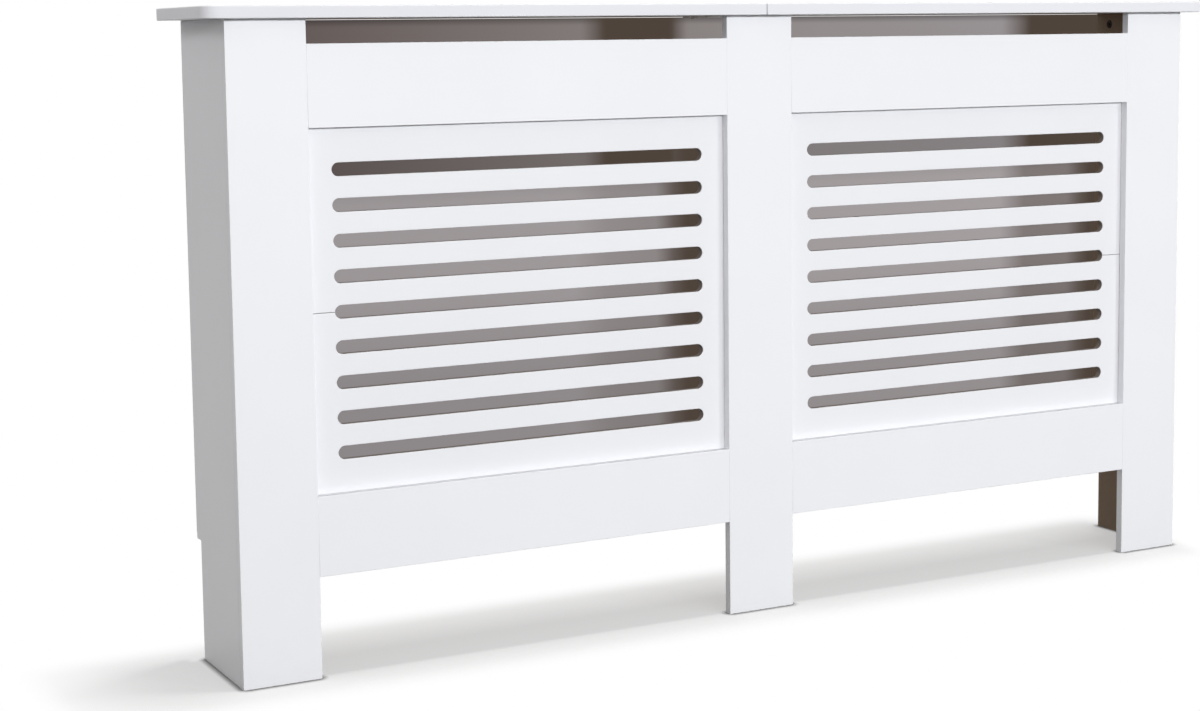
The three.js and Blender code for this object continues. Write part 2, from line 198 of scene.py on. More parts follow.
def beech_material():
    """Plain beech: fine flecked grain along the dowel."""
    made, tree = material("beech_grain")
    at = node(tree, "TexCoord").outputs["Object"]
    along = mapped(tree, at, Scale=(60.0, 900.0, 900.0))
    grain = noise(tree, along, scale=1.0, detail=6.0, roughness=0.6)
    tones = [(0.25, (0.42, 0.26, 0.13)), (0.55, (0.60, 0.42, 0.24)), (0.8, (0.70, 0.52, 0.33))]
    relief = bump(tree, grain, strength=0.3, distance=0.0002)
    principled(tree, Base_Color=ramp(tree, grain, tones), Roughness=0.7, Normal=relief)
    return made


def fibreboard_material(name, dark, middle_tone, light):
    """Bare fibreboard: felted fibres with darker and lighter specks, under a soft cloudy wash."""
    made, tree = material(name)
    at = node(tree, "TexCoord").outputs["Object"]
    fibre = noise(tree, at, scale=900.0, detail=6.0, roughness=0.75)
    tone = ramp(tree, fibre, [(0.28, dark), (0.5, middle_tone), (0.72, light)])
    cloud = noise(tree, at, scale=14.0, detail=4.0, roughness=0.6)
    wash = ramp(tree, cloud, [(LOW, (0.88, 0.87, 0.86)), (HIGH, (1.0, 1.0, 1.0))])
    colour = mix_colour(tree, 1.0, tone, wash, "MULTIPLY")
    relief = bump(tree, fibre, strength=0.35, distance=0.00015)
    principled(tree, Base_Color=colour, Roughness=0.78, Normal=relief, IOR=1.4)
    return made


foil = foil_material("white_foil", (0.85, 0.86, 0.89), (0.835, 0.845, 0.875), 0.0)
foil_slat = foil_material("white_foil_slats", (0.827, 0.837, 0.867), (0.812, 0.822, 0.852), 3.1)
foil_edge = foil_material("white_edge_band", (0.79, 0.80, 0.84), (0.775, 0.785, 0.825), 5.7)
# the lower rails' edges: a duller, rougher finish, and a darker tone that is painted shade on their top ledge,
# which gets little light from above
dull_rail_edge_with_shade = foil_material("dull_rail_edge_painted_shade", (0.68, 0.69, 0.72), (0.65, 0.66, 0.69), 8.3, (0.62, 0.78))
raw = fibreboard_material("bare_fibreboard", (0.235, 0.170, 0.120), (0.315, 0.235, 0.170),
                          (0.400, 0.310, 0.235))
# the milled walls of the slots and panel edges: bare fibreboard, but greyer and darker than the bare backs,
# partly the milled fibre and partly painted shade deep in the slots
milled_with_shade = fibreboard_material("milled_fibreboard_painted_shade", (0.175, 0.145, 0.125), (0.235, 0.200, 0.178),
                             (0.300, 0.262, 0.236))
zinc = zinc_material("bright_zinc", (0.52, 0.53, 0.55), (0.70, 0.70, 0.70))
# the cam locks' zinc: near black, painted shade and dark reflections of the closed space behind the cover that
# the locks face
zinc_in_painted_shade = zinc_material("die_cast_zinc_painted_shade", (0.070, 0.066, 0.062), (0.120, 0.113, 0.105))
beech = beech_material()

# ------------------------------------------------------------ mesh helpers, in millimetres
# The boards and fittings are made again with fine roundings, threads and recesses. Each takes its place and
# size from its own node in the frame.
MM = 0.001
WELD = 0.0005               # corners closer than this become one
SAME_HEIGHT = 1e-4
WHITE, RAW, EDGE = 0, 1, 2  # material places of a board: foil face, bare fibreboard, edges of another look
ARC = 24                    # steps of a half circle
EASE_STEPS = 4              # steps of an eased edge
SHARP_ANGLE = 50            # edges that turn by more stay sharp in the light
FLAT_WEIGHT = 60            # how much the large faces outweigh the small ones beside them


def box_mm(name):
    """The lower and the upper corner of a node's box."""
    lo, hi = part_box(name)
    return [v / MM for v in lo], [v / MM for v in hi]


def middle(name):
    """The middle of a node's box."""
    lo, hi = box_mm(name)
    return [(a + b) / 2 for a, b in zip(lo, hi)]


def nodes_of(prefix):
    return [name for name in NODES if name.startswith(prefix)]


def piece_from(bm, name, materials):
    """Turns a bmesh in millimetres into an object in metres."""
    bmesh.ops.remove_doubles(bm, verts=bm.verts, dist=WELD)
    bmesh.ops.recalc_face_normals(bm, faces=bm.faces)
    bmesh.ops.scale(bm, vec=(MM, MM, MM), verts=bm.verts)
    mesh = bpy.data.meshes.new(name)
    bm.to_mesh(mesh)
    bm.free()
    for look in materials:
        mesh.materials.append(look)
    piece = bpy.data.objects.new(name, mesh)
    bpy.context.scene.collection.objects.link(piece)
    return piece


def stand_for(piece, node_name):
    """Puts a finished piece in its node's place."""
    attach(piece, "root")
    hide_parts(node_name)


def offset(loop, d, flush=None):
    """Moves a closed outline by d towards its left, the side where the board is. Points at the height flush
    stay at that height."""
    moved = []
    for i, p in enumerate(loop):
        before = (p - loop[i - 1]).normalized()
        after = (loop[(i + 1) % len(loop)] - p).normalized()
        left_a, left_b = Vector((-before.y, before.x)), Vector((-after.y, after.x))
        q = p + (left_a + left_b) * (d / (1 + left_a.dot(left_b)))
        if flush is not None and abs(p.y - flush) < SAME_HEIGHT:
            q.y = flush
        moved.append(q)
    return moved


def arc(cx, cy, r, a0, a1, steps):
    """Points round a centre, from the angle a0 to the angle a1."""
    turns = [a0 + (a1 - a0) * i / steps for i in range(steps + 1)]
    return [Vector((cx + r * math.cos(a), cy + r * math.sin(a))) for a in turns]


def polygon(*points):
    return [Vector(p) for p in points]


def rounded_rectangle(x0, y0, x1, y1, r, steps):
    """A rectangle with round corners, counter-clockwise from its lower right corner."""
    centres = ((x1 - r, y0 + r), (x1 - r, y1 - r), (x0 + r, y1 - r), (x0 + r, y0 + r))
    return [p for k, (x, y) in enumerate(centres)
            for p in arc(x, y, r, (k - 1) * math.pi / 2, k * math.pi / 2, steps)]


def plate(loops, thickness, place, looks, flush=None):
    """A flat board from an outline and its holes. loops is [(points, ease), ...], first the outline, which is
    counter-clockwise, then the holes, which are clockwise, each with the radius of its eased edges. place
    turns (u, v, depth) into x, y, z. looks has the material places of the face, the walls of the outline, the
    walls of the holes, and the back."""
    bm = bmesh.new()
    face_look, wall_look, hole_look, back_look = looks
    front, back = [], []
    for k, (points, ease) in enumerate(loops):
        # a ring is a step inwards and a depth: first the eased edge of the face, then that of the back
        turns = [math.pi / 2 * i / EASE_STEPS for i in range(EASE_STEPS + 1)]
        rings = [(ease * (1 - math.sin(a)), ease * (1 - math.cos(a))) for a in turns]
        rings += [(d, thickness - w) for d, w in reversed(rings)]
        rows = [[bm.verts.new(place(p.x, p.y, w)) for p in offset(points, d, flush)] for d, w in rings]
        middle_look = wall_look if k == 0 else hole_look
        row_looks = [face_look] * EASE_STEPS + [middle_look] + [back_look] * EASE_STEPS
        for row, following, look in zip(rows, rows[1:], row_looks):
            for i in range(len(points)):
                n = (i + 1) % len(points)
                face = bm.faces.new((row[i], row[n], following[n], following[i]))
                face.material_index = look
                face.smooth = True
        front += rows[0]
        back += rows[-1]
    flat = [[Vector((*p, 0)) for p in offset(points, ease, flush)] for points, ease in loops]
    triangles = [tri for tri in tessellate_polygon(flat) if len(set(tri)) == 3]
    for verts, look in ((front, face_look), (back, back_look)):
        for tri in triangles:
            face = bm.faces.new([verts[i] for i in tri])
            face.material_index = look
            face.smooth = False
    return bm


def lathe(rows, columns):
    """A closed body round the Z axis. rows is [(z, radius), ...], where a radius may be a function of the
    angle and a zero radius closes the body."""
    bm = bmesh.new()
    angles = [2 * math.pi * i / columns for i in range(columns)]
    made = []
    for z, radius in rows:
        if radius == 0:
            made.append([bm.verts.new((0, 0, z))])
            continue
        radii = [radius(a) if callable(radius) else radius for a in angles]
        made.append([bm.verts.new((r * math.cos(a), r * math.sin(a), z)) for r, a in zip(radii, angles)])
    for lo, hi in zip(made, made[1:]):
        for i in range(columns):
            j = (i + 1) % columns
            if len(lo) == 1:
                corners = (lo[0], hi[j], hi[i])
            elif len(hi) == 1:
                corners = (lo[i], lo[j], hi[0])
            else:
                corners = (lo[i], lo[j], hi[j], hi[i])
            bm.faces.new(corners).smooth = True
    return bm


def drill(bm, axis, a, b, centre, radius):
    """A cutter: a cylinder along an axis from a to b. It leaves faces of the material place RAW."""
    turn = {"x": Matrix.Rotation(math.pi / 2, 4, "Y"), "y": Matrix.Rotation(math.pi / 2, 4, "X"),
            "z": Matrix.Identity(4)}[axis]
    at = Vector(centre)
    at["xyz".index(axis)] = (a + b) / 2
    made = bmesh.ops.create_cone(bm, cap_ends=True, segments=ARC, radius1=radius, radius2=radius,
                                 depth=abs(b - a), matrix=Matrix.Translation(at) @ turn)
    for vert in made["verts"]:
        for face in vert.link_faces:
            face.material_index = RAW
            face.smooth = len(face.verts) == 4
    return bm


def carve(piece, cutter_bm):
    """Cuts a closed shape, in millimetres, out of an object in metres."""
    if not cutter_bm.faces:
        cutter_bm.free()
        return
    tool = piece_from(cutter_bm, piece.name + "_cutter", [])
    mod = piece.modifiers.new("cut", "BOOLEAN")
    mod.object = tool
    mod.operation = "DIFFERENCE"
    mod.solver = "EXACT"
    bpy.context.view_layer.update()
    cut = bpy.data.meshes.new_from_object(piece.evaluated_get(bpy.context.evaluated_depsgraph_get()))
    cut.name = piece.name
    piece.modifiers.clear()
    uncut = piece.data
    piece.data = cut
    bpy.data.meshes.remove(uncut)
    bpy.data.objects.remove(tool)


def weigh_normals(piece):
    """Keeps the large flat faces flat in the light, beside their small rounded edges."""
    for face in piece.data.polygons:
        face.use_smooth = True
    piece.data.set_sharp_from_angle(angle=math.radians(SHARP_ANGLE))
    mod = piece.modifiers.new("flat faces", "WEIGHTED_NORMAL")
    mod.mode = "FACE_AREA"
    mod.weight = FLAT_WEIGHT
    mod.keep_sharp = True


# ------------------------------------------------------------ boards, in millimetres
SLOTS, SLOT_PITCH, SLOT_H, SLOT_L = 9, 43.2, 16.5, 515
CORNER_R = 20               # outer front corners of the shelf
SEAM_BEVEL = 1.2            # front corner of each shelf board at the seam
NOTCH_D, NOTCH_H = 16, 152  # cut-out for the skirting board
EASE, EASE_SLAT, EASE_SHELF = 0.6, 0.8, 1.4
REACH = 0.01                # less than this isn't reaching into a board
PLAY = 0.3                  # of a pin in its hole
SCREW_R, DOWEL_R, BOLT_R, CAM_R = 1.75, 3.0, 2.9, 6.0
HEAD_R, HEAD_T = 3.6, 2.0   # of a screw

# the hole of each kind of pin: its axis, how far it goes past the lower and the upper end of the pin (below
# zero it stops short of that end), and the radius of the pin
HOLES = {
    "dowel_stile": ("y", 0.5, 1.0, DOWEL_R),
    "dowel": ("x", 1.0, 1.0, DOWEL_R),
    "cam_bolt": ("z", -1.7, 0.5, BOLT_R),
    "cam_lock_left": ("x", 0.4, 1.0, CAM_R),
    "cam_lock_right": ("x", 1.0, 0.4, CAM_R),
    "screw_angle_shelf": ("z", -HEAD_T, 0.5, SCREW_R),
    "screw_plate": ("z", -HEAD_T, 0.5, SCREW_R),
    "screw": ("y", 0.6, -HEAD_T, SCREW_R),
}


def standing(front):
    """Places an outline drawn in X and Z, with its depth from a front plane to the back."""
    return lambda u, v, w: (u, front + w, v)


def touches(name, lo, hi):
    """Whether a node reaches into a box."""
    a, b = box_mm(name)
    return all(a[i] < hi[i] - REACH and b[i] > lo[i] + REACH for i in range(3))


def bores(lo, hi):
    """The holes of a board between two corners: one for every pin, screw and cam that reaches into it."""
    cut = bmesh.new()
    for name in NODES:
        kind = next((k for k in HOLES if name.startswith(k)), None)
        if kind is None or not touches(name, lo, hi):
            continue
        axis, past_lower, past_upper, radius = HOLES[kind]
        i = "xyz".index(axis)
        a, b = box_mm(name)
        drill(cut, axis, a[i] - past_lower, b[i] + past_upper, middle(name), radius + PLAY)
    return cut


def add_board(node_name, loops, thickness, place, looks, materials, flush=None):
    """Makes a board with its holes, in the place of its node."""
    piece = piece_from(plate(loops, thickness, place, looks, flush), node_name + "_fine", materials)
    carve(piece, bores(*box_mm(node_name)))
    weigh_normals(piece)
    stand_for(piece, node_name)


def add_plain_board(name, edge):
    """A stile or a rail: a rectangle that stands."""
    lo, hi = box_mm(name)
    outline = polygon((lo[0], lo[2]), (hi[0], lo[2]), (hi[0], hi[2]), (lo[0], hi[2]))
    add_board(name, [(outline, EASE)], hi[1] - lo[1], standing(lo[1]), (WHITE, edge, WHITE, RAW),
              [foil, raw, dull_rail_edge_with_shade])


def add_side_panel(side, sign):
    """A side panel, drawn in Y and Z on its outer face."""
    name = "side_panel_" + side
    lo, hi = box_mm(name)
    outer = hi[0] if sign > 0 else lo[0]
    step_y, step_z = hi[1] - NOTCH_D, lo[2] + NOTCH_H
    outline = polygon((lo[1], lo[2]), (step_y, lo[2]), (step_y, step_z), (hi[1], step_z), (hi[1], hi[2]),
                      (lo[1], hi[2]))
    add_board(name, [(outline, EASE)], hi[0] - lo[0], lambda u, v, w: (outer - sign * w, u, v),
              (WHITE, WHITE, WHITE, RAW), [foil, raw, dull_rail_edge_with_shade])


def add_shelf_board(side, sign):
    """A shelf board, drawn from above as the right one, with its outer front corner round."""
    name = "shelf_" + side
    lo, hi = box_mm(name)
    inner, outer = (lo[0], hi[0]) if sign > 0 else (-hi[0], -lo[0])
    front, back = lo[1], hi[1]
    corner = arc(outer - CORNER_R, front + CORNER_R, CORNER_R, -math.pi / 2, 0, ARC // 2)
    outline = polygon((inner, back), (inner, front + SEAM_BEVEL), (inner + SEAM_BEVEL, front), *corner,
                      (outer, back))
    add_board(name, [(outline, EASE_SHELF)], hi[2] - lo[2], lambda u, v, w: (sign * u, v, hi[2] - w),
              (WHITE, EDGE, WHITE, WHITE), [foil, raw, foil_edge])


def add_slat_panel(side, level):
    """An upper or a lower slatted panel. The two share the middle slot of their bay: they part by a hair at
    the outer end of the bay and close up tight at its inner end."""
    name = f"slat_panel_{level}_{side}"
    lo, hi = box_mm(name)
    seam = (box_mm("slat_panel_upper_" + side)[0][2] + box_mm("slat_panel_lower_" + side)[1][2]) / 2
    upwards = 1 if level == "upper" else -1
    near, far = (lo[2], hi[2]) if upwards > 0 else (hi[2], lo[2])
    z_left, z_right = (near, seam) if side == "left" else (seam, near)

    # a slot is a stretch between two half circles
    r = SLOT_H / 2
    centre = (lo[0] + hi[0]) / 2
    xa, xb = centre - SLOT_L / 2 + r, centre + SLOT_L / 2 - r
    quarter = math.pi / 2
    turn_left, turn_right = (math.asin((z - seam) / r) for z in (z_left, z_right))
    left_end = arc(xa, seam, r, math.pi - turn_left, math.pi - upwards * quarter, ARC // 2)
    right_end = arc(xb, seam, r, upwards * quarter, turn_right, ARC // 2)
    outline = polygon((lo[0], z_left), *left_end, *right_end, (hi[0], z_right), (hi[0], far), (lo[0], far))
    if upwards < 0:
        outline.reverse()
    loops = [(outline, EASE_SLAT)]
    for i in range(1, (SLOTS + 1) // 2):
        z = seam + upwards * i * SLOT_PITCH
        slot = arc(xa, z, r, -quarter, -3 * quarter, ARC) + arc(xb, z, r, quarter, -quarter, ARC)
        loops.append((slot, EASE_SLAT))
    add_board(name, loops, hi[1] - lo[1], standing(lo[1]), (WHITE, EDGE, EDGE, RAW), [foil_slat, raw, milled_with_shade],
              seam)


for name in ("stile_left", "stile_centre", "stile_right", "frieze_rail_left", "frieze_rail_right"):
    add_plain_board(name, WHITE)
for name in ("lower_rail_left", "lower_rail_right"):
    add_plain_board(name, EDGE)
for side, sign in (("left", -1), ("right", 1)):
    add_side_panel(side, sign)
    add_shelf_board(side, sign)
    for level in ("upper", "lower"):
        add_slat_panel(side, level)

# ------------------------------------------------------------ fittings, in millimetres
THREAD_SLOPE = 2.6          # a crest falls to the core within one part in this of the pitch
RECESS_MOUTH, RECESS_BOTTOM = 1.12, 0.5  # widths of a cross recess, as shares of the width at its face
RECESS_PROUD = 0.3          # how far its cutter stands out of the face, as a share of its depth
DRILL_PROUD, STRIP_DRILL = 1, 3  # how far a drill stands out of a face, and how deep it goes into a strip


def helix(core, crest, pitch, z):
    """The radius of a thread at a height, as a function of the angle."""
    def radius(angle):
        phase = (z / pitch - angle / (2 * math.pi)) % 1.0
        return core + (crest - core) * max(0.0, 1 - abs(phase - 0.5) * THREAD_SLOPE)
    return radius


def cross_recess(z, reach, width, depth, turn=0.0):
    """A cutter in the shape of a tapered cross that goes from just below height z up to z + depth."""
    bm = bmesh.new()
    arm = [(reach, -width / 2), (reach, width / 2), (width / 2, width / 2)]
    outline = [(x * math.cos(a) - y * math.sin(a), x * math.sin(a) + y * math.cos(a))
               for a in (turn + k * math.pi / 2 for k in range(4)) for x, y in arm]
    mouth, bottom = ([bm.verts.new((x * k, y * k, z + h)) for x, y in outline]
                     for k, h in ((RECESS_MOUTH, -depth * RECESS_PROUD), (RECESS_BOTTOM, depth)))
    bm.faces.new(reversed(mouth))
    bm.faces.new(bottom)
    for i in range(len(outline)):
        n = (i + 1) % len(outline)
        bm.faces.new((mouth[i], mouth[n], bottom[n], bottom[i]))
    return bm


def laid(piece, at, turn):
    """Turns a piece that was made round its own Z axis and sets it at a point in millimetres."""
    piece.data.transform(Matrix.Translation(Vector(at) * MM) @ turn)


# screws: a domed head, a short neck and a thread that tapers to the tip
DOME = ((1.0, 0.45), (0.93, 0.68), (0.75, 0.87), (0.45, 0.98))  # shares of the head's height and radius
CORE_R = 1.25               # below the thread
RIM = ((-0.25, HEAD_R), (0, HEAD_R - 0.15))
NECK = ((0, SCREW_R + 0.05), (0.7, CORE_R + 0.15))
THREAD_FROM, THREAD_TO = 0.9, 0.25  # how far the thread keeps from the head and from the point
SCREW_PITCH, TIP_LENGTH, TIP_POWER = 1.6, 3.4, 0.8
SCREW_COLUMNS, SCREW_ROWS = 24, 6   # round the screw, and for one turn of its thread
STOP_TURN = 0.37            # sets the recesses at different turns


def screw_bm(length):
    """A wood screw that points along +Z of its own, with the underside of its head at zero."""
    rows = [(-HEAD_T, 0)] + [(-HEAD_T * h, HEAD_R * w) for h, w in DOME] + [*RIM, *NECK]
    z = THREAD_FROM
    while z < length - THREAD_TO:
        taper = min(1.0, (length - z) / TIP_LENGTH) ** TIP_POWER
        rows.append((z, helix(CORE_R * taper, SCREW_R * taper, SCREW_PITCH, z)))
        z += SCREW_PITCH / SCREW_ROWS
    rows.append((length, 0))
    return lathe(rows, SCREW_COLUMNS)


def add_screw(name, patterns):
    """A copy of the screw of its length, turned to where it happened to stop."""
    lo, hi = box_mm(name)
    mid = middle(name)
    upright = name.startswith(("screw_angle_shelf", "screw_plate"))
    length = round((hi[2] - lo[2] if upright else hi[1] - lo[1]) - HEAD_T, 2)
    if length not in patterns:
        pattern = piece_from(screw_bm(length), f"screw_{length:g}", [zinc])
        carve(pattern, cross_recess(z=-HEAD_T, reach=2.1, width=0.85, depth=1.5))
        patterns[length] = pattern
    stopped = Matrix.Rotation(STOP_TURN * len(name) + mid[0], 4, "Z")
    at = (mid[0], mid[1], lo[2] + HEAD_T) if upright else (mid[0], hi[1] - HEAD_T, mid[2])
    turn = stopped if upright else Matrix.Rotation(math.pi / 2, 4, "X") @ stopped
    piece = bpy.data.objects.new(name + "_fine", patterns[length].data)
    piece.matrix_world = Matrix.Translation(Vector(at) * MM) @ turn
    bpy.context.scene.collection.objects.link(piece)
    stand_for(piece, name)


patterns = {}
for name in nodes_of("screw_"):
    add_screw(name, patterns)

# dowels: fluted along their length, with bevelled ends
FLUTES, FLUTE_DEPTH, DOWEL_COLUMNS = 18, 0.16, 72
DOWEL_END = ((0, DOWEL_R - 0.9), (0.3, DOWEL_R - 0.55))  # depth from the end, and radius
DOWEL_BEVEL = 0.9


def fluted(angle):
    """The radius of a dowel at an angle."""
    return DOWEL_R - FLUTE_DEPTH * (0.5 + 0.5 * math.cos(FLUTES * angle))


def add_dowel(name):
    """A dowel along the longer side of its node's box."""
    lo, hi = box_mm(name)
    mid = middle(name)
    along_x = hi[0] - lo[0] > hi[1] - lo[1]
    length = hi[0] - lo[0] if along_x else hi[1] - lo[1]
    rows = [(0, 0), *DOWEL_END, (DOWEL_BEVEL, fluted), (length - DOWEL_BEVEL, fluted)]
    rows += [(length - z, r) for z, r in reversed(DOWEL_END)] + [(length, 0)]
    piece = piece_from(lathe(rows, DOWEL_COLUMNS), name + "_fine", [beech])
    if along_x:
        laid(piece, (lo[0], mid[1], mid[2]), Matrix.Rotation(math.pi / 2, 4, "Y"))
    else:
        laid(piece, (mid[0], lo[1], mid[2]), Matrix.Rotation(-math.pi / 2, 4, "X"))
    stand_for(piece, name)


for name in nodes_of("dowel_"):
    add_dowel(name)

# cam locks: a groove round the face, a cross recess, and a hole for the bolt
CAM_FACE = ((0, CAM_R - 1.0), (0.18, CAM_R - 0.8), (0.18, CAM_R - 0.55), (0, CAM_R - 0.4), (0.35, CAM_R))
CAM_BEVEL = 0.3
BOLT_PAST = 2               # how far the bolt's hole goes past the middle of the lock


def add_cam_lock(name):
    """A cam lock that faces the middle of the cover."""
    lo, hi = box_mm(name)
    mid = middle(name)
    sign = 1 if mid[0] > 0 else -1
    depth = hi[0] - lo[0]
    rows = [(0, 0), *CAM_FACE, (depth - CAM_BEVEL, CAM_R), (depth, CAM_R - CAM_BEVEL), (depth, 0)]
    # the drilled hole is the same zinc, in the material place that drill gives it
    piece = piece_from(lathe(rows, 2 * ARC), name + "_fine", [zinc_in_painted_shade, zinc_in_painted_shade])
    carve(piece, cross_recess(z=0, reach=3.6, width=1.5, depth=1.3, turn=math.pi / 4))
    laid(piece, (lo[0] if sign > 0 else hi[0], mid[1], mid[2]), Matrix.Rotation(sign * math.pi / 2, 4, "Y"))
    bolt = middle(name.replace("lock", "bolt"))
    carve(piece, drill(bmesh.new(), "z", mid[2] - BOLT_PAST, hi[2] + DRILL_PROUD, bolt, BOLT_R + PLAY))
    stand_for(piece, name)


for name in nodes_of("cam_lock_"):
    add_cam_lock(name)

# cam bolts: a ball head for the lock, a thin neck, a shank, and a thread from where the shelf begins
BOLT_HEAD = ((0, 1.8), (0.25, 2.35), (0.8, 2.7), (2.2, 2.7), (2.9, 2.1), (3.3, 1.5))
BOLT_NECK = ((6.8, 1.5), (7.4, 2.2), (7.9, 2.65), (8.1, 2.7))
BOLT_CORE_R, BOLT_PITCH = 2.1, 2.2
# heights from the underside of the shelf
BOLT_COLLAR = ((-1.2, 2.7), (-0.7, BOLT_R), (-0.35, BOLT_R), (-0.1, BOLT_CORE_R))
BOLT_THREAD_FROM, BOLT_THREAD_TO = 0.2, 0.5  # how far its thread keeps from there and from the end
BOLT_TIP = ((-0.3, 2.0), (0, 1.4), (0, 0))   # heights from the end
BOLT_COLUMNS, BOLT_ROWS = 32, 7


def add_cam_bolt(name):
    """A cam bolt that stands upright, from its lock up into the shelf."""
    lo, hi = box_mm(name)
    mid = middle(name)
    height = hi[2] - lo[2]
    shelf = box_mm("shelf_left")[0][2] - lo[2]
    rows = [(0, 0), *BOLT_HEAD, *BOLT_NECK] + [(shelf + z, r) for z, r in BOLT_COLLAR]
    z = shelf + BOLT_THREAD_FROM
    while z < height - BOLT_THREAD_TO:
        rows.append((z, helix(BOLT_CORE_R, BOLT_R, BOLT_PITCH, z)))
        z += BOLT_PITCH / BOLT_ROWS
    rows += [(height + z, r) for z, r in BOLT_TIP]
    piece = piece_from(lathe(rows, BOLT_COLUMNS), name + "_fine", [zinc])
    laid(piece, (mid[0], mid[1], lo[2]), Matrix.Identity(4))
    stand_for(piece, name)


for name in nodes_of("cam_bolt_"):
    add_cam_bolt(name)

# centre angle and joining plate: a bent and a flat strip of zinc, drilled for their screws
STRIP_T = 1.5
BEND_R, BEND_STEPS = 2.3, 6  # outside of the bend
PLATE_CORNER_R, PLATE_CORNER_STEPS = 4, 8
EASE_ANGLE, EASE_PLATE, EASE_PLATE_HOLE = 0.15, 0.25, 0.2


def add_centre_angle():
    """Drawn from its end in Y and Z: down behind the stile, round the bend and back under the shelf."""
    lo, hi = box_mm("centre_angle")
    cy, cz = lo[1] + BEND_R, hi[2] - BEND_R
    outside = arc(cy, cz, BEND_R, math.pi, math.pi / 2, BEND_STEPS)
    inside = arc(cy, cz, BEND_R - STRIP_T, math.pi / 2, math.pi, BEND_STEPS)
    profile = polygon((lo[1], lo[2]), *outside, (hi[1], hi[2]), (hi[1], hi[2] - STRIP_T), *inside,
                      (lo[1] + STRIP_T, lo[2]))
    profile.reverse()
    bm = plate([(profile, EASE_ANGLE)], hi[0] - lo[0], lambda u, v, w: (lo[0] + w, u, v), (0, 0, 0, 0))
    # the drilled holes are the same zinc, in the material place that drill gives them
    piece = piece_from(bm, "centre_angle_fine", [zinc, zinc])
    cut = bmesh.new()
    for side in ("left", "right"):
        stile_screw, shelf_screw = middle("screw_angle_stile_" + side), middle("screw_angle_shelf_" + side)
        drill(cut, "y", lo[1] - DRILL_PROUD, lo[1] + STRIP_DRILL, stile_screw, SCREW_R + PLAY)
        drill(cut, "z", hi[2] - STRIP_DRILL, hi[2] + DRILL_PROUD, shelf_screw, SCREW_R + PLAY)
    carve(piece, cut)
    weigh_normals(piece)
    stand_for(piece, "centre_angle")


def add_joining_plate():
    """A flat strip under the shelf's seam, with round corners."""
    lo, hi = box_mm("joining_plate")
    outline = rounded_rectangle(lo[0], lo[1], hi[0], hi[1], PLATE_CORNER_R, PLATE_CORNER_STEPS)
    loops = [(outline, EASE_PLATE)]
    for side in ("left", "right"):
        x, y, _ = middle("screw_plate_" + side)
        loops.append((arc(x, y, SCREW_R + PLAY, 2 * math.pi, 0, ARC)[:-1], EASE_PLATE_HOLE))
    bm = plate(loops, hi[2] - lo[2], lambda u, v, w: (u, v, lo[2] + w), (0, 0, 0, 0))
    stand_for(piece_from(bm, "joining_plate_fine", [zinc]), "joining_plate")


add_centre_angle()
add_joining_plate()
for pattern in patterns.values():
    bpy.data.objects.remove(pattern)

# ------------------------------------------------------------ stage, in metres


def sheet(name, corners, look):
    """A flat surface of the stage."""
    mesh = bpy.data.meshes.new(name)
    mesh.from_pydata(corners, [], [tuple(range(len(corners)))])
    mesh.materials.append(look)
    placed = bpy.data.objects.new(name, mesh)
    bpy.context.scene.collection.objects.link(placed)
    return placed


FLOOR_X, FLOOR_FRONT, FLOOR_BACK = 30, -30, 60
FLOOR_WHITE = 0.60          # of the shaded floor under the cover
FLOOR_BOUNCE = (0.06, 0.058, 0.056)  # what the floor gives back to the cover
# painted contact shadow: ambient occlusion darkens the floor in a thin line where the feet touch it
CONTACT_SHADOW_REACH, CONTACT_SHADOW_POWER = 0.010, 2.5  # of the dark line where the feet touch the floor
# the painted bounds of the shadow under the cover: its middle, the distance at which it starts to fade into
# white, and where it is all white
SHADED = (("X", 0.0, 0.78, 1.02), ("Y", -0.004, 0.096, 0.176))
# painted light: a share of white glow lifts the lamps' shadow under the cover to an even pale grey
LEAST_GLOW = 0.44           # share of plain white within the shaded floor


def floor_material():
    """Pale and even in the shadow under the cover, which a painted glow lifts, and plain white past its
    footprint, like the backdrop.
    """
    made, tree = material("pale_floor")
    seen = seen_by(tree, "Is Camera Ray", "Is Glossy Ray")
    # painted contact shadow from ambient occlusion, in both the diffuse colour and the glow
    contact = node(tree, "AmbientOcclusion", Distance=CONTACT_SHADOW_REACH, _samples=8).outputs["AO"]
    dark = maths(tree, "POWER", contact, CONTACT_SHADOW_POWER)
    plain = ramp(tree, dark, [(0.0, (0, 0, 0)), (1.0, (FLOOR_WHITE,) * 3)])
    tint = mix_colour(tree, seen, (*FLOOR_BOUNCE, 1), plain)
    shaded = node(tree, "BsdfDiffuse", Color=tint).outputs["BSDF"]

    at = node(tree, "SeparateXYZ", Vector=node(tree, "TexCoord").outputs["Object"])
    fades = []
    for axis, centre, fade_from, white_from in SHADED:
        away = maths(tree, "ABSOLUTE", maths(tree, "SUBTRACT", at.outputs[axis], centre))
        fades.append(maprange(tree, away, (fade_from, white_from), (1.0, 0.0), "SMOOTHSTEP"))
    under = maths(tree, "MULTIPLY", *fades)
    # the glow: plain white past the footprint, and painted light that lifts the shadow within it
    white = maths(tree, "MULTIPLY", maprange(tree, under, (0.0, 1.0), (1.0, LEAST_GLOW)), seen)
    glow = node(tree, "Emission", Color=dark).outputs["Emission"]
    show(tree, mix_shader(tree, white, shaded, glow))
    return made


floor = sheet("floor", [(-FLOOR_X, FLOOR_FRONT, 0), (FLOOR_X, FLOOR_FRONT, 0), (FLOOR_X, FLOOR_BACK, 0),
                        (-FLOOR_X, FLOOR_BACK, 0)], floor_material())

